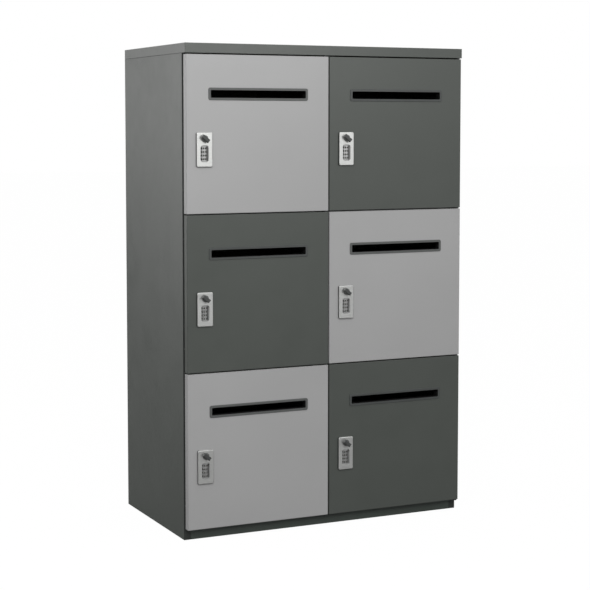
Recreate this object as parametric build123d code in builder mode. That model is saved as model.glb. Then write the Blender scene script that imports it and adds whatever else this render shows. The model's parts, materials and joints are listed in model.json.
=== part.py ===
"""A mail locker cabinet of melamine-faced board: two columns of three lockers.

Each locker has an overlay door on two pivot pins, a letter slot in a plastic bezel, and a
four-dial combination lock whose knob turns a cam behind a steel keeper.
Millimetres. X runs along the width, +Y to the back, +Z up. The origin is on the floor, at the
middle of the cabinet's outline with its knobs.
"""
import os

from build123d import *

# Boards
cabinet_width = 800.0
cabinet_height = 1260.0
carcass_depth = 428.0       # from the front edges of the sides to the back
board = 18.0
top_board = 25.0
back_board = 8.0
plinth_height = 30.0
board_edge_radius = 0.8

# Doors
columns = 2
rows = 3
door_board = 18.0
door_gap = 3.0              # between two rows, and under the top
door_middle_gap = 3.0       # between two columns
door_side_inset = 2.5       # from the cabinet's side to the nearest door
door_standoff = 4.0         # from the carcass front to the back of a door
door_drop = 1.0             # how far the lowest doors reach below the bottom panel
door_edge_radius = 1.0

# Letter slot and bezel
slot_width = 264.0
slot_height = 19.5
slot_from_top = 98.5        # from the door's top edge to the middle of the slot
slot_corner = 2.5
bezel_rim = 6.0             # width of the rim that shows round the slot
bezel_corner = 5.0
bezel_proud = 1.8
bezel_edge_radius = 0.8
bezel_wall = 1.6
bezel_play = 0.2

# Lock case
lock_width = 42.0
lock_height = 86.0
lock_proud = 6.0
lock_corner = 3.5
lock_edge_radius = 1.2
lock_from_edge = 47.0       # from the door's free edge to the middle of the lock
lock_from_top = 238.0       # from the door's top edge to the middle of the lock
lock_body_width = 32.0
lock_body_height = 76.0
lock_body_corner = 3.0
lock_body_behind = 8.0      # how far the body reaches behind the door
lock_play = 0.2
window_rim = 3.0            # from the dials' well to the rounded recess round it
window_depth = 1.4
window_corner = 7.5

# Dials
dials = 4
dial_pitch = 9.0
dial_gap = 0.4              # between one dial and the next
dial_collar = 2.2           # height of the notched collar at each end of a dial
dial_radius = 9.4           # at the collars
dial_band_depth = 0.5       # how far the numbered band lies inside the collars
dial_clearance = 0.4        # round the dials in their well
dial_below_face = 0.2       # how far a dial stands back from the lock's face
dials_below_middle = 10.0   # from the middle of the lock to the middle of the dials
dial_digits = 10
dial_notch_radius = 0.8
axle_radius = 1.75
axle_play = 0.05
axle_seat = 3.5             # how far the axle is held in the case at each end

# Knob, spindle and cam
knob_above_middle = 28.0    # from the middle of the lock to the knob's axis
knob_disc_radius = 8.5
knob_disc_height = 2.5
knob_gap = 0.3
knob_length = 22.0
knob_width = 9.0
knob_grip_height = 8.5
knob_slope = -40.0          # the grip's slope in degrees
knob_edge_radius = 1.2
spindle_radius = 4.5
spindle_play = 0.08
square_width = 6.0
stud_radius = 2.8
cam_length = 26.0           # from the spindle to the tip
cam_width = 12.0
cam_thickness = 2.5
cam_gap = 0.3
cam_play = 0.05
nut_width = 9.0
nut_thickness = 3.5
stud_beyond_nut = 1.5

# Pivot hinges
pivot_from_edge = 6.0       # from the door's hinge edge to the pivot
pivot_from_back = 12.5      # from the door's back to the pivot
pivot_radius = 2.0
pivot_reach = 9.0           # how far a pin goes into a door
pivot_play = 0.05
pivot_end_gap = 0.5
bush_radius = 3.5
bush_floor = 1.5
bracket_thickness = 2.0
bracket_nose = 4.5          # radius of the bracket's arm round the pin
bracket_leg = 32.0
bracket_bend = 7.0          # from the arm to the head of the nearest screw

# Wood screws
screw_head_radius = 3.4
screw_head_depth = 1.7
screw_radius = 1.75
screw_length = 16.0
screw_recess = 0.1          # how far a head lies below the face round it
screw_play = 0.05
screw_socket_radius = 1.5
screw_socket_depth = 1.2
bracket_screw_spacing = 14.0
back_screws_per_upright = 4
back_screws_per_shelf = 2

# Keepers, buffers and dowels
keeper_thickness = 2.0
keeper_height = 40.0
keeper_base = 22.0
keeper_overlap = 7.0        # how much of the cam's tip lies behind the keeper
keeper_cam_gap = 1.0
keeper_screw_spacing = 24.0
buffer_radius = 3.0
buffer_gap = 0.3
buffer_from_door_end = 60.0
buffer_from_door_side = 3.6
dowel_radius = 4.0
dowel_length = 30.0
dowel_web = 2.0             # wood left in a board between two dowels end to end
dowel_play = 0.05
dowel_from_edge = 50.0

# Sizes that follow
inner_width = cabinet_width - 2 * board
locker_width = (inner_width - (columns - 1) * board) / columns
upright_pitch = locker_width + board
carcass_top = cabinet_height - top_board
locker_floor = plinth_height + board
door_zone_bottom = plinth_height - door_drop
door_zone_top = carcass_top - door_gap
door_height = (door_zone_top - door_zone_bottom - (rows - 1) * door_gap) / rows
door_width = (cabinet_width - 2 * door_side_inset - (columns - 1) * door_middle_gap) / columns
knob_stands_out = lock_proud + knob_gap + knob_disc_height + knob_grip_height
overall_depth = carcass_depth + door_standoff + door_board + knob_stands_out
back_y = overall_depth / 2
shelf_back_y = back_y - back_board
front_y = back_y - carcass_depth
door_back_y = front_y - door_standoff
door_front_y = door_back_y - door_board
cam_front = -(door_board + lock_body_behind + cam_gap)
cam_back = cam_front - cam_thickness
nut_front = cam_back - cam_play
keeper_back_y = door_front_y - cam_front - keeper_cam_gap
keeper_front_y = keeper_back_y - keeper_thickness
dowel_in_face = (board - dowel_web) / 2
bracket_lie = (door_gap - bracket_thickness) / 2

column_names = ("left", "right")
row_names = ("bottom", "middle", "top")
bezel_outer_width = slot_width + 2 * bezel_rim
bezel_outer_height = slot_height + 2 * bezel_rim
sleeve_width = slot_width + 2 * bezel_wall
sleeve_height = slot_height + 2 * bezel_wall
sleeve_corner = slot_corner + bezel_wall


def export(name, part):
    """Labels a finished piece and writes it to its own file."""
    part.label = name
    export_step(part, f"parts/{name}.step")


def upright_x(number):
    """The middle of an upright board: 0 is the left side, and the last is the right side."""
    return -cabinet_width / 2 + board / 2 + number * upright_pitch


def door_left_x(column):
    """The free edge of a column's doors: their locks are at the left, their pivots at the right."""
    return -cabinet_width / 2 + door_side_inset + column * (door_width + door_middle_gap)


def door_bottom_z(row):
    return door_zone_bottom + row * (door_height + door_gap)


def shelf_z(level):
    """The middle of the shelf behind the gap above a row of doors."""
    return door_bottom_z(level) + door_height + door_gap / 2


def pivot_x(column):
    return door_left_x(column) + door_width - pivot_from_edge


def pivot_y():
    return door_back_y - pivot_from_back


def spindle_x(column):
    return door_left_x(column) + lock_from_edge


def spindle_z(row):
    return door_bottom_z(row) + door_height - lock_from_top + knob_above_middle


def lock_middle_z(row):
    return door_bottom_z(row) + door_height - lock_from_top


def facing_front(x, z, out=0.0):
    """A plane in front of the doors' faces by out: x to the right, y up, z to the front."""
    return Plane(origin=(x, door_front_y - out, z), x_dir=(1, 0, 0), z_dir=(0, -1, 0))


def dowel_places():
    """Every dowel in the carcass, as the place of an upright cylinder turned to lie if needed."""
    offset = dowel_length / 2 - dowel_in_face
    depths = (front_y + dowel_from_edge, shelf_back_y - dowel_from_edge)
    lying = (0, 90, 0)
    places = []
    for column in range(columns):
        left_face = upright_x(column) + board / 2
        right_face = left_face + locker_width
        for level in range(rows - 1):
            for x in (left_face + offset, right_face - offset):
                places += [Location((x, y, shelf_z(level)), lying) for y in depths]
    for x in (-inner_width / 2 + offset, inner_width / 2 - offset):
        places += [Location((x, y, plinth_height + board / 2), lying) for y in depths]
        for y in (front_y + board / 2, back_y - board / 2):
            places.append(Location((x, y, plinth_height / 2), lying))
    for number in range(columns + 1):
        places += [Location((upright_x(number), y, carcass_top - offset)) for y in depths]
    for number in range(1, columns):
        places += [Location((upright_x(number), y, locker_floor + offset)) for y in depths]
    return places


def bracket_arms():
    """Each bracket of a column, upwards: the bottom of its arm, the way its leg goes from the arm,
    and the bottom and top of its pin."""
    reach = bracket_lie + pivot_reach
    arms = []
    for row in range(rows + 1):
        bottom = door_bottom_z(row) - bracket_lie - bracket_thickness
        top = bottom + bracket_thickness
        pin_bottom = bottom if row == 0 else bottom - reach
        pin_top = top if row == rows else top + reach
        way = -1 if row == rows else 1
        arms.append((bottom, way, pin_bottom, pin_top))
    return arms


def bracket_screw_z(bottom, way):
    """The heights of a bracket's two screws."""
    near = bottom + bracket_thickness / 2 + way * (
        bracket_thickness / 2 + bracket_bend + screw_head_radius
    )
    return near, near + way * bracket_screw_spacing


def screw_places():
    """Every screw in the cabinet, as the place of a screw whose head faces its local +Z."""
    places = []
    for column in range(columns):
        for bottom, way, _, _ in bracket_arms():
            for z in bracket_screw_z(bottom, way):
                head = (upright_x(column + 1), front_y - bracket_thickness, z)
                places.append(Plane(head, x_dir=(1, 0, 0), z_dir=(0, -1, 0)).location)
        for row in range(rows):
            for side in (-1, 1):
                x = upright_x(column) + board / 2 + keeper_thickness
                y = keeper_back_y + (keeper_base - keeper_thickness) / 2
                head = (x, y, spindle_z(row) + side * keeper_screw_spacing / 2)
                places.append(Plane(head, x_dir=(0, 1, 0), z_dir=(1, 0, 0)).location)
        for level in range(rows - 1):
            for number in range(back_screws_per_shelf):
                share = (number + 0.5) / back_screws_per_shelf
                x = upright_x(column) + board / 2 + share * locker_width
                head = (x, back_y, shelf_z(level))
                places.append(Plane(head, x_dir=(1, 0, 0), z_dir=(0, 1, 0)).location)
    for upright in range(1, columns):
        for number in range(back_screws_per_upright):
            share = (number + 0.5) / back_screws_per_upright
            z = locker_floor + share * (carcass_top - locker_floor)
            head = (upright_x(upright), back_y, z)
            places.append(Plane(head, x_dir=(1, 0, 0), z_dir=(0, 1, 0)).location)
    return places


def wood_screw(play):
    """A countersunk screw with its head at the origin, or with a play the hole that takes it."""
    head = screw_head_radius + play
    shank = screw_radius + play
    end = -screw_length - play
    with BuildPart() as screw:
        with BuildSketch(Plane.XZ):
            with BuildLine():
                Polyline(
                    (0, -screw_recess), (head, -screw_recess), (shank, -screw_head_depth),
                    (shank, end), (0, end), close=True,
                )
            make_face()
        revolve(axis=Axis.Z)
        with BuildSketch(Plane.XY.offset(-screw_recess)):
            if play:
                Circle(head)
            else:
                RegularPolygon(screw_socket_radius, 6)
        if play:
            extrude(amount=screw_recess)
        else:
            extrude(amount=-screw_socket_depth, mode=Mode.SUBTRACT)
    return screw.part


def cut_fixings():
    """Cuts the holes for every dowel and screw that meets the piece in hand."""
    with Locations(*dowel_places()):
        Cylinder(dowel_radius + dowel_play, dowel_length + 2 * dowel_play, mode=Mode.SUBTRACT)
    with Locations(*screw_places()):
        add(screw_hole, mode=Mode.SUBTRACT)


def board_between(low, high):
    """A board between two corners, with its edges eased."""
    size = [h - l for l, h in zip(low, high)]
    with Locations(tuple((l + h) / 2 for l, h in zip(low, high))):
        Box(*size)
    fillet(edges(), board_edge_radius)


def make_carcass():
    """The sides, partition, top, bottom, back, plinth and shelves."""
    for number in range(columns + 1):
        x = upright_x(number)
        is_side = number in (0, columns)
        floor = 0 if is_side else locker_floor
        back = back_y if is_side else shelf_back_y
        with BuildPart() as upright:
            board_between((x - board / 2, front_y, floor), (x + board / 2, back, carcass_top))
            cut_fixings()
        name = {0: "side_panel_left", columns: "side_panel_right"}.get(number, "centre_partition")
        export(name, upright.part)

    with BuildPart() as top_panel:
        board_between(
            (-cabinet_width / 2, door_front_y, carcass_top),
            (cabinet_width / 2, back_y, cabinet_height),
        )
        cut_fixings()
    export("top_panel", top_panel.part)

    half = inner_width / 2
    with BuildPart() as bottom_panel:
        board_between((-half, front_y, plinth_height), (half, back_y, locker_floor))
        cut_fixings()
    export("bottom_panel", bottom_panel.part)

    with BuildPart() as back_panel:
        board_between((-half, shelf_back_y, locker_floor), (half, back_y, carcass_top))
        cut_fixings()
    export("back_panel", back_panel.part)

    for name, y in (("front", front_y), ("back", back_y - board)):
        with BuildPart() as rail:
            board_between((-half, y, 0), (half, y + board, plinth_height))
            cut_fixings()
        export(f"plinth_{name}_rail", rail.part)

    for column in range(columns):
        left = upright_x(column) + board / 2
        for level, level_name in ((0, "lower"), (1, "upper")):
            z = shelf_z(level)
            with BuildPart() as shelf:
                board_between(
                    (left, front_y, z - board / 2),
                    (left + locker_width, shelf_back_y, z + board / 2),
                )
                cut_fixings()
            export(f"shelf_{column_names[column]}_{level_name}", shelf.part)


def make_carcass_fixings():
    """Dowels, screws, hinge brackets and pins, keepers and door buffers."""
    with BuildPart() as dowels:
        with Locations(*dowel_places()):
            Cylinder(dowel_radius, dowel_length)
    export("dowels", dowels.part)

    with BuildPart() as wood_screws:
        with Locations(*screw_places()):
            add(wood_screw(0))
    export("wood_screws", wood_screws.part)

    with BuildPart() as pivot_brackets:
        for column in range(columns):
            for bottom, way, _, _ in bracket_arms():
                make_bracket(column, bottom, way)
        with Locations(*screw_places()):
            add(screw_hole, mode=Mode.SUBTRACT)
    export("pivot_brackets", pivot_brackets.part)

    with BuildPart() as pivot_pins:
        for column in range(columns):
            for _, _, pin_bottom, pin_top in bracket_arms():
                with Locations((pivot_x(column), pivot_y(), (pin_bottom + pin_top) / 2)):
                    Cylinder(pivot_radius, pin_top - pin_bottom)
        fillet(edges().filter_by(GeomType.CIRCLE), pivot_radius / 4)
    export("pivot_pins", pivot_pins.part)

    with BuildPart() as keepers:
        for column in range(columns):
            for row in range(rows):
                make_keeper(column, row)
        with Locations(*screw_places()):
            add(screw_hole, mode=Mode.SUBTRACT)
    export("keepers", keepers.part)

    with BuildPart() as door_buffers:
        for column in range(columns):
            for row in range(rows):
                low = door_bottom_z(row) + buffer_from_door_end
                high = door_bottom_z(row) + door_height - buffer_from_door_end
                x = door_left_x(column) + buffer_from_door_side
                with BuildSketch(Plane.XZ.offset(-front_y)):
                    with Locations((x, low), (x, high)):
                        Circle(buffer_radius)
                extrude(amount=door_standoff - buffer_gap)
        tips = faces().filter_by(Axis.Y).group_by(Axis.Y)[0]
        fillet(tips.edges(), buffer_radius / 3)
    export("door_buffers", door_buffers.part)


def make_bracket(column, bottom, way):
    """An angle of sheet steel: an arm between two doors, and a leg on the upright's front edge."""
    low_x = min(pivot_x(column), upright_x(column + 1)) - bracket_nose
    high_x = max(pivot_x(column), upright_x(column + 1)) + bracket_nose
    middle_x = (low_x + high_x) / 2
    arm_length = front_y - pivot_y()
    with BuildSketch(Plane.XY.offset(bottom)) as arm:
        with Locations((middle_x, front_y - arm_length / 2)):
            Rectangle(high_x - low_x, arm_length)
        with Locations((pivot_x(column), pivot_y())):
            Circle(bracket_nose)
            Circle(pivot_radius + pivot_play, mode=Mode.SUBTRACT)
    extrude(arm.sketch, amount=bracket_thickness)
    leg_start = bottom if way > 0 else bottom + bracket_thickness
    leg_middle = (middle_x, front_y - bracket_thickness / 2, leg_start + way * bracket_leg / 2)
    with Locations(leg_middle):
        Box(high_x - low_x, bracket_thickness, bracket_leg)


def make_keeper(column, row):
    """An angle of sheet steel on the upright's face, with a lip that the cam turns behind."""
    face_x = upright_x(column) + board / 2
    lip_end = spindle_x(column) - cam_length + keeper_overlap
    low_z = spindle_z(row) - keeper_height / 2
    with BuildSketch(Plane.XY.offset(low_z)) as angle:
        with Locations((face_x, keeper_front_y)):
            Rectangle(keeper_thickness, keeper_base, align=Align.MIN)
            Rectangle(lip_end - face_x, keeper_thickness, align=Align.MIN)
    extrude(angle.sketch, amount=keeper_height)


def make_door(column, row):
    """The door's board, its bezel and its bushes."""
    left_x = door_left_x(column)
    low_z = door_bottom_z(row)
    high_z = low_z + door_height
    front = facing_front(left_x, low_z)
    slot = facing_front(left_x + door_width / 2, high_z - slot_from_top)
    lock = facing_front(spindle_x(column), lock_middle_z(row))
    bush_length = pivot_reach + pivot_end_gap + bush_floor
    bush_ends = ((low_z, 1), (high_z, -1))
    name = f"{column_names[column]}_{row_names[row]}"

    with BuildPart() as door_panel:
        with BuildSketch(front):
            Rectangle(door_width, door_height, align=Align.MIN)
        extrude(amount=-door_board)
        fillet(edges(), door_edge_radius)
        with BuildSketch(slot):
            RectangleRounded(
                sleeve_width + 2 * bezel_play, sleeve_height + 2 * bezel_play,
                sleeve_corner + bezel_play,
            )
        extrude(amount=-door_board, mode=Mode.SUBTRACT)
        with BuildSketch(lock):
            RectangleRounded(
                lock_body_width + 2 * lock_play, lock_body_height + 2 * lock_play,
                lock_body_corner + lock_play,
            )
        extrude(amount=-door_board, mode=Mode.SUBTRACT)
        for end, way in bush_ends:
            with Locations((pivot_x(column), pivot_y(), end + way * bush_length / 2)):
                Cylinder(bush_radius + dowel_play, bush_length, mode=Mode.SUBTRACT)
    export(f"door_panel_{name}", door_panel.part)

    with BuildPart() as slot_bezel:
        with BuildSketch(slot):
            RectangleRounded(bezel_outer_width, bezel_outer_height, bezel_corner)
        extrude(amount=bezel_proud)
        rim = faces().sort_by(Axis.Y)[0]
        fillet(rim.edges(), bezel_edge_radius)
        with BuildSketch(slot):
            RectangleRounded(sleeve_width, sleeve_height, sleeve_corner)
        extrude(amount=-door_board)
        with BuildSketch(slot.offset(bezel_proud)):
            RectangleRounded(slot_width, slot_height, slot_corner)
        extrude(amount=-door_board - bezel_proud, mode=Mode.SUBTRACT)
    export(f"slot_bezel_{name}", slot_bezel.part)

    with BuildPart() as pivot_bushes:
        for end, way in bush_ends:
            with Locations((pivot_x(column), pivot_y(), end + way * bush_length / 2)):
                Cylinder(bush_radius, bush_length)
            bore_length = bush_length - bush_floor
            with Locations((pivot_x(column), pivot_y(), end + way * bore_length / 2)):
                Cylinder(pivot_radius + pivot_play, bore_length, mode=Mode.SUBTRACT)
    export(f"pivot_bushes_{name}", pivot_bushes.part)


def make_lock(column, row):
    """The lock's case with its axle, its dials, its knob on a spindle, and the cam with its nut."""
    x = spindle_x(column)
    middle_z = lock_middle_z(row)
    lock = facing_front(x, middle_z)
    knob = facing_front(x, spindle_z(row))
    dials_z = middle_z - dials_below_middle
    window = facing_front(x, dials_z, lock_proud)
    axis_y = door_front_y - lock_proud + dial_below_face + dial_radius
    dial_height = dial_pitch - dial_gap
    well_width = 2 * (dial_radius + dial_clearance)
    stack = dials * dial_pitch + dial_clearance
    axle_low = dials_z - stack / 2 - axle_seat
    axle_length = stack + 2 * axle_seat
    bore_low = middle_z - lock_body_height / 2
    bore_length = axle_low + axle_length + axle_play - bore_low
    name = f"{column_names[column]}_{row_names[row]}"

    with BuildPart() as lock_case:
        with BuildSketch(lock):
            RectangleRounded(lock_width, lock_height, lock_corner)
        extrude(amount=lock_proud)
        fillet(faces().sort_by(Axis.Y)[0].edges(), lock_edge_radius)
        with BuildSketch(lock):
            RectangleRounded(lock_body_width, lock_body_height, lock_body_corner)
        extrude(amount=-door_board - lock_body_behind)
        with BuildSketch(window):
            RectangleRounded(window_rim + well_width, 2 * window_rim + stack, window_corner)
        extrude(amount=-window_depth, mode=Mode.SUBTRACT)
        with BuildSketch(window):
            Rectangle(well_width, stack)
        extrude(amount=-dial_below_face - dial_radius - well_width / 2, mode=Mode.SUBTRACT)
        with Locations((x, axis_y, bore_low + bore_length / 2)):
            Cylinder(axle_radius + axle_play, bore_length, mode=Mode.SUBTRACT)
        with BuildSketch(knob.offset(lock_proud)):
            Circle(spindle_radius + spindle_play)
        extrude(amount=cam_front - lock_proud, mode=Mode.SUBTRACT)
        with Locations((x, axis_y, axle_low + axle_length / 2)):
            Cylinder(axle_radius, axle_length)
    export(f"lock_case_{name}", lock_case.part)

    with BuildPart() as number_dials:
        for number in range(dials):
            low_z = dials_z + (number - (dials - 1) / 2) * dial_pitch - dial_height / 2
            middle = Plane((x, axis_y, low_z + dial_height / 2))
            with BuildSketch(middle):
                Circle(dial_radius)
                with PolarLocations(dial_radius + dial_notch_radius / 2, dial_digits):
                    Circle(dial_notch_radius, mode=Mode.SUBTRACT)
            extrude(amount=dial_height / 2, both=True)
            with BuildSketch(middle):
                Circle(dial_radius + dial_notch_radius)
                Circle(dial_radius - dial_band_depth, mode=Mode.SUBTRACT)
            extrude(amount=dial_height / 2 - dial_collar, both=True, mode=Mode.SUBTRACT)
            with BuildSketch(middle):
                Circle(axle_radius + axle_play)
            extrude(amount=dial_height, both=True, mode=Mode.SUBTRACT)
    export(f"number_dials_{name}", number_dials.part)

    with BuildPart() as lock_knob:
        with BuildSketch(knob.offset(lock_proud + knob_gap)):
            Circle(knob_disc_radius)
        extrude(amount=knob_disc_height)
        with BuildSketch(knob.offset(lock_proud + knob_gap + knob_disc_height)):
            Rectangle(knob_length, knob_width, rotation=knob_slope)
        extrude(amount=knob_grip_height)
        fillet(faces().sort_by(Axis.Y)[0].edges(), knob_edge_radius)
        with BuildSketch(knob.offset(lock_proud + knob_gap)):
            Circle(spindle_radius)
        extrude(amount=cam_front - lock_proud - knob_gap)
        with BuildSketch(knob.offset(cam_front)):
            Rectangle(square_width, square_width)
        extrude(amount=nut_front - cam_front)
        with BuildSketch(knob.offset(nut_front)):
            Circle(stud_radius)
        extrude(amount=-nut_thickness - stud_beyond_nut)
    export(f"lock_knob_{name}", lock_knob.part)

    with BuildPart() as lock_cam:
        with BuildSketch(knob.offset(cam_front)):
            with Locations((0, (cam_width / 2 - cam_length) / 2)):
                RectangleRounded(cam_width, cam_length + cam_width / 2, cam_width / 4)
            Rectangle(
                square_width + 2 * cam_play, square_width + 2 * cam_play, mode=Mode.SUBTRACT
            )
        extrude(amount=-cam_thickness)
        with BuildSketch(knob.offset(nut_front)):
            RegularPolygon(nut_width / 2, 6, major_radius=False)
            Circle(stud_radius + cam_play, mode=Mode.SUBTRACT)
        extrude(amount=-nut_thickness)
    export(f"lock_cam_{name}", lock_cam.part)


os.makedirs("parts", exist_ok=True)
screw_hole = wood_screw(screw_play)
make_carcass()
make_carcass_fixings()
for door_column in range(columns):
    for door_row in range(rows):
        make_door(door_column, door_row)
        make_lock(door_column, door_row)
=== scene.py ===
"""The looks of a grey mail locker cabinet: board facings, metal locks, numbered dials, bezels."""
import json
import math

import bmesh
import bpy
from mathutils import Matrix, Vector


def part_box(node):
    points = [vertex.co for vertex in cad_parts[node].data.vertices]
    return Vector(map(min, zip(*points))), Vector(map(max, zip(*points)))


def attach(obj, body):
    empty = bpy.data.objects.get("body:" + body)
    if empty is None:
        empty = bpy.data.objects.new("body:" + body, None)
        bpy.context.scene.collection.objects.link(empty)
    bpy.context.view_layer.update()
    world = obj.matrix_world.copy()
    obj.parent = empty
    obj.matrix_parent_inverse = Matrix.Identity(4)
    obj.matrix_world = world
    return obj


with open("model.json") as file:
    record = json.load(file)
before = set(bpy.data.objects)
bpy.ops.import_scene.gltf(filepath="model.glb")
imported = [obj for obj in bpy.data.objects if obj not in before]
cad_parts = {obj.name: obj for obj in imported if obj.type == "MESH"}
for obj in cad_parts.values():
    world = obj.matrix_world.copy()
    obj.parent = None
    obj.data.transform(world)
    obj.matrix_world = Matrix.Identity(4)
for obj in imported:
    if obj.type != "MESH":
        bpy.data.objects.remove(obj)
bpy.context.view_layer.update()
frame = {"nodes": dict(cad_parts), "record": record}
nodes = frame["nodes"]
slot_of = {part["node"]: part["material_slot"] for part in frame["record"]["subparts"]}

columns = ("left", "right")
rows = ("bottom", "middle", "top")
doors = [f"{column}_{row}" for column in columns for row in rows]

# Counts, and sizes in metres, that the frame doesn't hold
dial_count = 4
dial_pitch = 0.009
dial_band_radius = 0.0089       # the numbered middle of a dial, between its collars
dial_band_height = 0.0042
digits_per_dial = 10
digit_height = 0.0032
digit_width = 1.15              # a factor: numerals are drawn this much wider
digit_raise = 0.00012
digit_thickness = digit_raise * 1.5
band_thickness = 0.001          # edge bands on the boards
seam_core = 0.0001              # the glue line by a band is darkest this far to each side,
seam_reach = 0.00025            # and ends here
bezel_rim_depth = 0.0018        # from a bezel's face to where its dark sleeve starts
lock_face_depth = 0.0016        # how far back from its face a lock's bright plating goes; behind it the case is painted dark, a painted shade
lock_window_reach = 0.0165      # half the width of the part of a lock that holds the dials' window
lock_well_start = 0.0002        # how far behind a lock's face the pale grey round its dials, a painted light in place of the well's shade, starts, and covers
lock_well_full = 0.0005         # and covers
knob_painted_light_depth = 0.0013       # the dark front of a knob's grip; behind it the grip's sides are painted lighter, a painted light

# Half the way over which one colour turns into the next
colour_blur = 0.0001
lock_face_blur = 0.0002
lock_window_blur = 0.0003
dial_blur = 0.01                # as a share of dial_pitch

# Scales of a plastic's grain
fine_grain = 1500.0
coarse_grain = 900.0

black = (0.0, 0.0, 0.0, 1.0)
white = (1.0, 1.0, 1.0, 1.0)

# The stage
world_light = 0.52
floor_half = 30.0
floor_bounce = (0.26, 0.26, 0.26, 1.0)
floor_white = 1.09
floor_shadow = 0.1

# Each lamp's name, place, target, size in metres and power in watts
lamps = (
    ("key", (-1.3, -2.5, 2.2), (-0.1, 0, 0.7), 1.2, 38),
    ("front", (1.3, -3.9, 2.15), (-0.2, 0, 1.0), 0.9, 30),
    ("side", (-2.3, 1.8, 0.95), (-0.4, 0, 0.6), 1.4, 16),
)

# The camera, worked out from the photograph's corners
camera_place = (-1.8298, -3.8721, 1.056)
camera_turn = math.radians(25.35)
camera_dip = math.radians(4.26)
camera_lens = 95.83
camera_sensor = 36.0
camera_shift_y = -0.09


def linear(red, green, blue):
    """A colour given as 0 to 255 on screen, as the shader wants it."""
    def one(value):
        share = value / 255
        return share / 12.92 if share <= 0.04045 else ((share + 0.055) / 1.055) ** 2.4
    return (one(red), one(green), one(blue), 1.0)


def shade(colour, factor):
    return tuple(channel * factor for channel in colour[:3]) + (1.0,)


def put(tree, socket, value):
    """Joins an input to another node's output, or sets it to a value."""
    if isinstance(value, bpy.types.NodeSocket):
        tree.links.new(value, socket)
    else:
        socket.default_value = value


def add_node(tree, kind, **inputs):
    """A new node. An input is given by its name, or by its number as in i0."""
    node = tree.nodes.new(kind)
    for name, value in inputs.items():
        numbered = name[0] == "i" and name[1:].isdigit()
        key = int(name[1:]) if numbered else name.replace("_", " ")
        put(tree, node.inputs[key], value)
    return node


def add_math(tree, operation, first, second=0.0, third=0.0):
    node = add_node(tree, "ShaderNodeMath", i0=first, i1=second, i2=third)
    node.operation = operation
    return node.outputs[0]


class Graph:
    """A material's nodes, with short ways to add and join them."""

    def __init__(self, name):
        self.material = bpy.data.materials.new(name)
        self.material.use_nodes = True
        self.tree = self.material.node_tree
        self.tree.nodes.clear()
        self.shader = self.add("ShaderNodeBsdfPrincipled")
        self.add("ShaderNodeOutputMaterial", Surface=self.shader.outputs[0])
        self.place = self.add("ShaderNodeTexCoord").outputs["Object"]

    def add(self, kind, **inputs):
        return add_node(self.tree, kind, **inputs)

    def math(self, operation, *values):
        return add_math(self.tree, operation, *values)

    def vector(self, operation, first, second=(0.0, 0.0, 0.0)):
        node = self.add("ShaderNodeVectorMath", i0=first, i1=second)
        node.operation = operation
        return node.outputs[0]

    def distance(self, first, second):
        return self.math("ABSOLUTE", self.math("SUBTRACT", first, second))

    def axes(self, place=None):
        """The three coordinates of a place, or of the one on the surface in the frame's metres."""
        return self.add("ShaderNodeSeparateXYZ", i0=place or self.place).outputs

    def noise(self, scale, detail=3.0, roughness=0.5, stretch=(1.0, 1.0, 1.0)):
        place = self.vector("MULTIPLY", self.place, stretch)
        node = self.add(
            "ShaderNodeTexNoise", Vector=place, Scale=scale, Detail=detail, Roughness=roughness
        )
        return node.outputs[0]

    def span(self, value, low, high, to_low=0.0, to_high=1.0):
        """Maps low..high to to_low..to_high, and holds the ends."""
        node = self.add(
            "ShaderNodeMapRange", i0=value, i1=low, i2=high, i3=to_low, i4=to_high
        )
        return node.outputs[0]

    def spread(self, noise, to_low=0.0, to_high=1.0, reach=0.2):
        """Maps the values that a noise mostly has, round 0.5, to to_low..to_high."""
        return self.span(noise, 0.5 - reach, 0.5 + reach, to_low, to_high)

    def vary(self, noise, value, by):
        """A value that goes up and down with a noise."""
        return self.spread(noise, value - by, value + by)

    def mix(self, share, first, second):
        """The first colour where share is 0, and the second where it is 1."""
        node = self.tree.nodes.new("ShaderNodeMix")
        node.data_type = "RGBA"
        # A mix has sockets for each kind of data: those of a colour are 6 and 7 in, and 2 out
        put(self.tree, node.inputs[0], share)
        put(self.tree, node.inputs[6], first)
        put(self.tree, node.inputs[7], second)
        return node.outputs[2]

    def mottle(self, noise, colour, darkest, lightest, reach=0.2):
        """A colour in uneven shades, given as factors of it."""
        share = self.spread(noise, reach=reach)
        return self.mix(share, shade(colour, darkest), shade(colour, lightest))

    def bump(self, height, strength, distance):
        node = self.add("ShaderNodeBump", Strength=strength, Distance=distance, Height=height)
        self.set(Normal=node.outputs[0])

    def set(self, **values):
        """Sets the shader's inputs."""
        for name, value in values.items():
            put(self.tree, self.shader.inputs[name.replace("_", " ")], value)


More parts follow.
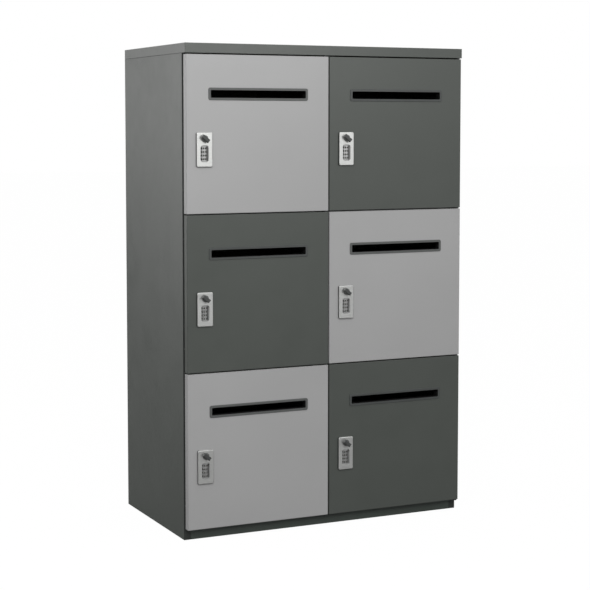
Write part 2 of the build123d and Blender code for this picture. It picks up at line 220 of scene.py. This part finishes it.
def board_material(node, colour, band_colour):
    """Melamine facing with a fine grain, and bands glued to the board's narrow sides, in a colour
    that on the carcass is painted shade.
    """
    low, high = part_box(node)
    middle = (low + high) / 2
    half = (high - low) / 2
    thin = min(range(3), key=lambda axis: half[axis])
    long_axes = [axis for axis in range(3) if axis != thin]
    graph = Graph(f"board_{node}")
    offset = graph.vector("SUBTRACT", graph.place, tuple(middle))
    from_middle = graph.axes(graph.vector("ABSOLUTE", offset))
    to_edge = [graph.math("SUBTRACT", half[axis], from_middle[axis]) for axis in long_axes]
    nearest = graph.math("MINIMUM", *to_edge)
    band = graph.span(nearest, band_thickness, band_thickness - colour_blur)
    seams = [
        graph.span(graph.distance(way, band_thickness), seam_reach, seam_core) for way in to_edge
    ]
    seam = graph.math("MAXIMUM", *seams)
    grain = graph.noise(scale=900.0, detail=2.0, roughness=0.6)
    tint = graph.mottle(graph.noise(scale=3.0, detail=2.0), colour, 0.965, 1.035)
    tint = graph.mix(graph.spread(grain, to_high=0.22), tint, shade(colour, 0.86))
    tint = graph.mix(band, tint, band_colour)
    tint = graph.mix(graph.math("MULTIPLY", seam, 0.8), tint, shade(colour, 0.25))
    smudge = graph.spread(graph.noise(scale=14.0, detail=4.0, roughness=0.55), 0.34, 0.43)
    graph.set(
        Base_Color=tint,
        Roughness=graph.math("SUBTRACT", smudge, graph.math("MULTIPLY", band, 0.06)),
        Specular_IOR_Level=0.5,
    )
    fine = graph.math("MULTIPLY", grain, 0.5)
    height = graph.math("ADD", fine, graph.noise(scale=320.0, detail=2.0))
    graph.bump(height, strength=0.12, distance=0.00012)
    return graph.material


def plastic_material(name, colour, roughness, grain_scale, bump):
    """Moulded plastic with a spark-eroded texture."""
    graph = Graph(name)
    grain = graph.noise(grain_scale, detail=3.0, roughness=0.6)
    graph.set(
        Base_Color=graph.mottle(graph.noise(scale=25.0), colour, 0.93, 1.07),
        Roughness=graph.vary(grain, roughness, 0.06),
        Specular_IOR_Level=0.5,
    )
    graph.bump(grain, bump, distance=0.0001)
    return graph.material


def two_plastics(name, border, front_colour, back_colour):
    """Moulded plastic of one colour in front of a y, and of another behind it."""
    graph = Graph(name)
    grain = graph.noise(scale=1300.0, detail=3.0, roughness=0.6)
    behind = graph.span(graph.axes()["Y"], border - colour_blur, border + colour_blur)
    front = graph.mottle(graph.noise(scale=25.0), front_colour, 0.93, 1.07)
    graph.set(
        Base_Color=graph.mix(behind, front, back_colour),
        Roughness=graph.spread(grain, 0.40, 0.52),
        Specular_IOR_Level=0.5,
    )
    graph.bump(grain, strength=0.2, distance=0.0001)
    return graph.material


def metal_material(name, colour, roughness):
    """Plated metal with a tumbled grain."""
    graph = Graph(name)
    lines = graph.noise(scale=500.0, detail=4.0, roughness=0.7)
    cloud = graph.noise(scale=40.0, detail=3.0)
    rough = graph.math("ADD", graph.vary(lines, roughness, 0.05), graph.vary(cloud, 0.0, 0.03))
    graph.set(
        Base_Color=graph.mottle(lines, colour, 0.90, 1.04, reach=0.25),
        Metallic=1.0,
        Roughness=rough,
    )
    graph.bump(lines, strength=0.12, distance=0.00005)
    return graph.material


def plated(graph, share, plating, paint_and_painted_light, roughness):
    """Brushed plating where share is 1, and paint where it is 0; on a lock's case that paint is
    painted light and shade.
    """
    lines = graph.noise(scale=500.0, detail=4.0, roughness=0.7, stretch=(0.06, 1.0, 1.0))
    worn = graph.spread(lines, to_low=0.12, to_high=0.0, reach=0.25)
    dirty = graph.spread(graph.noise(scale=60.0), to_low=0.2, to_high=0.0)
    bright = graph.mix(worn, plating, black)
    dull = graph.mix(dirty, paint_and_painted_light, black)
    graph.set(
        Base_Color=graph.mix(share, dull, bright),
        Metallic=share,
        Roughness=graph.vary(lines, roughness, 0.05),
    )
    graph.bump(lines, strength=0.15, distance=0.00005)
    return graph.material


def lock_material(node):
    """A lock's case: bright plating on its face, pale grey round the dials as painted light in
    place of the well's shade, and painted shade, dark, on its sides.
    """
    low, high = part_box(node)
    graph = Graph(f"metal_{node}")
    axes = graph.axes()
    face_end = low.y + lock_face_depth
    front = graph.span(axes["Y"], face_end + lock_face_blur, face_end - lock_face_blur)
    aside = graph.distance(axes["X"], (low.x + high.x) / 2)
    inside = graph.span(
        aside, lock_window_reach + lock_window_blur, lock_window_reach - lock_window_blur
    )
    behind_face = graph.span(axes["Y"], low.y + lock_well_start, low.y + lock_well_full)
    painted_light_well = graph.math("MULTIPLY", inside, behind_face)
    share = graph.math("MULTIPLY", front, graph.math("SUBTRACT", 1.0, painted_light_well))
    # Painted shade: dark grey on the case's sides; painted light: pale grey in the dials' well
    paint_and_painted_light = graph.mix(inside, linear(62, 64, 64), linear(172, 173, 172))
    return plated(graph, share, linear(211, 212, 210), paint_and_painted_light, roughness=0.41)


def dial_material(node):
    """Plated notched collars at the ends of each dial, and a black band for its numerals."""
    low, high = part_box(node)
    middle = (low.z + high.z) / 2
    graph = Graph(f"dial_{node}")
    # The fraction of this place is 0.5 in the middle of every dial
    shift = 1 - middle / dial_pitch + dial_count / 2
    place = graph.math("MULTIPLY_ADD", graph.axes()["Z"], 1 / dial_pitch, shift)
    from_middle = graph.distance(graph.math("FRACT", place), 0.5)
    edge = dial_band_height / 2 / dial_pitch
    collar = graph.span(from_middle, edge - dial_blur, edge + dial_blur)
    return plated(graph, collar, linear(206, 207, 206), linear(24, 24, 24), roughness=0.3)


def wood_material(name, colour):
    graph = Graph(name)
    rings = graph.noise(scale=120.0, detail=5.0, roughness=0.6, stretch=(0.15, 1.0, 1.0))
    graph.set(
        Base_Color=graph.mottle(rings, colour, 0.8, 1.1),
        Roughness=graph.spread(rings, 0.55, 0.75),
    )
    graph.bump(rings, strength=0.3, distance=0.0002)
    return graph.material


light_board = linear(171, 171, 171)
dark_board = linear(77, 81, 77)
# Darker than the carcass's facing: painted shade from the doors' overhang
plinth_board = linear(66, 73, 68)
knob_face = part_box(f"lock_knob_{doors[0]}")[0].y
bezel_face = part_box(f"slot_bezel_{doors[0]}")[0].y


def bezel_material(name, rim_colour):
    """A slot's bezel: a grey rim, and a black sleeve through the door."""
    return two_plastics(name, bezel_face + bezel_rim_depth, rim_colour, linear(22, 22, 22))


# Each kind of board's facing and edge band
slot_colours = {
    # The carcass's bands are much darker than its facing: painted shade in the gaps beside the
    # doors
    "carcass_board": (dark_board, linear(48, 51, 49)),
    "plinth_board": (plinth_board, plinth_board),
    "light_door_board": (light_board, shade(light_board, 0.96)),
    "dark_door_board": (dark_board, shade(dark_board, 0.94)),
}
shared = {
    "bezel_plastic": bezel_material("bezel_dark", linear(66, 69, 68)),
    # A knob's grip: dark on its front, with its sides painted a lighter grey, a painted light
    "knob_plastic": two_plastics(
        "knob_plastic", knob_face + knob_painted_light_depth, linear(66, 68, 67), linear(96, 98, 97)
    ),
    "black_steel": plastic_material("black_steel", linear(34, 35, 35), 0.45, fine_grain, 0.1),
    "nylon": plastic_material("nylon", linear(225, 225, 220), 0.45, fine_grain, 0.1),
    "clear_rubber": plastic_material("clear_rubber", linear(88, 90, 88), 0.4, coarse_grain, 0.2),
    "zinc_steel": metal_material("zinc_steel", linear(205, 207, 210), 0.3),
    "beech": wood_material("beech", linear(205, 170, 125)),
}

pale_bezel = bezel_material("bezel_pale", linear(85, 87, 86))
on_light_doors = [
    f"slot_bezel_{door}" for door in doors if slot_of[f"door_panel_{door}"] == "light_door_board"
]

for name, thing in nodes.items():
    slot = slot_of[name]
    # The top's bands keep the facing's colour, without the carcass bands' painted shade
    if name == "top_panel":
        finish = board_material(name, dark_board, dark_board)
    elif slot in slot_colours:
        finish = board_material(name, *slot_colours[slot])
    elif name.startswith("number_dials"):
        finish = dial_material(name)
    elif name.startswith("lock_case"):
        finish = lock_material(name)
    elif name in on_light_doors:
        finish = pale_bezel
    else:
        finish = shared[slot]
    thing.data.materials.clear()
    thing.data.materials.append(finish)

digit_paint = plastic_material("digit_paint", linear(235, 235, 232), 0.5, coarse_grain, 0.1)


def digit_outline(number):
    """A numeral's flat mesh, centred on its place and digit_height tall."""
    curve = bpy.data.curves.new("numeral", "FONT")
    curve.body = str(number)
    curve.align_x = "CENTER"
    curve.align_y = "CENTER"
    curve.size = 1.0
    thing = bpy.data.objects.new("numeral", curve)
    bpy.context.collection.objects.link(thing)
    mesh = bpy.data.meshes.new_from_object(thing)
    bpy.data.objects.remove(thing)
    shape = bmesh.new()
    shape.from_mesh(mesh)
    lowest = min(vertex.co.y for vertex in shape.verts)
    highest = max(vertex.co.y for vertex in shape.verts)
    middle = (lowest + highest) / 2
    scale = digit_height / (highest - lowest)
    for vertex in shape.verts:
        across = vertex.co.x * scale * digit_width
        vertex.co = Vector((across, (vertex.co.y - middle) * scale, 0))
    shape.to_mesh(mesh)
    shape.free()
    return mesh


def make_numerals(door):
    """White numerals laid round the four dials of a lock."""
    low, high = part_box(f"number_dials_{door}")
    axis = (low + high) / 2
    radius = dial_band_radius + digit_raise
    shape = bmesh.new()
    for dial in range(dial_count):
        z = axis.z + (dial - (dial_count - 1) / 2) * dial_pitch
        for number in range(digits_per_dial):
            turn = number * 2 * math.pi / digits_per_dial
            before = len(shape.verts)
            shape.from_mesh(numerals[number])
            shape.verts.ensure_lookup_table()
            for vertex in shape.verts[before:]:
                angle = vertex.co.x / dial_band_radius + turn
                vertex.co = Vector((
                    axis.x + radius * math.sin(angle),
                    axis.y - radius * math.cos(angle),
                    z + vertex.co.y,
                ))
    mesh = bpy.data.meshes.new(f"numerals_{door}")
    shape.to_mesh(mesh)
    shape.free()
    piece = bpy.data.objects.new(f"numerals_{door}", mesh)
    bpy.context.collection.objects.link(piece)
    mesh.materials.append(digit_paint)
    solid = piece.modifiers.new("thickness", "SOLIDIFY")
    solid.thickness = digit_thickness
    solid.offset = -1.0
    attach(piece, f"dials_{door}")


numerals = [digit_outline(number) for number in range(digits_per_dial)]
for door in doors:
    make_numerals(door)


def make_floor():
    """A wide floor, white to the camera but for the cabinet's soft shadow, and grey to light."""
    mesh = bpy.data.meshes.new("floor")
    half = floor_half
    corners = [(-half, -half, 0), (half, -half, 0), (half, half, 0), (-half, half, 0)]
    mesh.from_pydata(corners, [], [(0, 1, 2, 3)])
    floor = bpy.data.objects.new("floor", mesh)
    bpy.context.collection.objects.link(floor)
    material = bpy.data.materials.new("floor")
    material.use_nodes = True
    tree = material.node_tree
    tree.nodes.clear()
    camera_ray = add_node(tree, "ShaderNodeLightPath").outputs["Is Camera Ray"]
    matt = add_node(tree, "ShaderNodeBsdfDiffuse", Color=floor_bounce).outputs[0]
    shown = add_node(tree, "ShaderNodeEmission", Color=white, Strength=floor_white).outputs[0]
    share = add_math(tree, "MULTIPLY", camera_ray, 1 - floor_shadow)
    blend = add_node(tree, "ShaderNodeMixShader", i0=share, i1=matt, i2=shown)
    add_node(tree, "ShaderNodeOutputMaterial", Surface=blend.outputs[0])
    mesh.materials.append(material)


def make_world():
    """White to the camera and to mirrors, a softer grey as light."""
    world = bpy.data.worlds.new("studio")
    bpy.context.scene.world = world
    world.use_nodes = True
    tree = world.node_tree
    tree.nodes.clear()
    ray = add_node(tree, "ShaderNodeLightPath").outputs
    seen = add_math(tree, "MAXIMUM", ray["Is Camera Ray"], ray["Is Glossy Ray"])
    light = add_node(tree, "ShaderNodeBackground", Color=white, Strength=world_light).outputs[0]
    shown = add_node(tree, "ShaderNodeBackground", Color=white, Strength=1.0).outputs[0]
    blend = add_node(tree, "ShaderNodeMixShader", i0=seen, i1=light, i2=shown)
    add_node(tree, "ShaderNodeOutputWorld", Surface=blend.outputs[0])


def make_lamp(name, place, target, size, power):
    """A square area lamp that points at a target."""
    data = bpy.data.lights.new(name, "AREA")
    data.size = size
    data.energy = power
    lamp = bpy.data.objects.new(name, data)
    lamp.location = place
    lamp.visible_camera = False
    aim = Vector(target) - Vector(place)
    lamp.rotation_euler = aim.to_track_quat("-Z", "Y").to_euler()
    bpy.context.collection.objects.link(lamp)


def make_camera():
    data = bpy.data.cameras.new("camera")
    data.sensor_width = camera_sensor
    data.lens = camera_lens
    data.shift_y = camera_shift_y
    camera = bpy.data.objects.new("camera", data)
    forward = Vector((
        math.sin(camera_turn) * math.cos(camera_dip),
        math.cos(camera_turn) * math.cos(camera_dip),
        -math.sin(camera_dip),
    ))
    turned = forward.to_track_quat("-Z", "Y").to_matrix().to_4x4()
    camera.matrix_world = Matrix.Translation(camera_place) @ turned
    bpy.context.collection.objects.link(camera)
    bpy.context.scene.camera = camera


make_floor()
make_world()
for lamp in lamps:
    make_lamp(*lamp)
make_camera()
bpy.context.scene.view_settings.view_transform = "Standard"
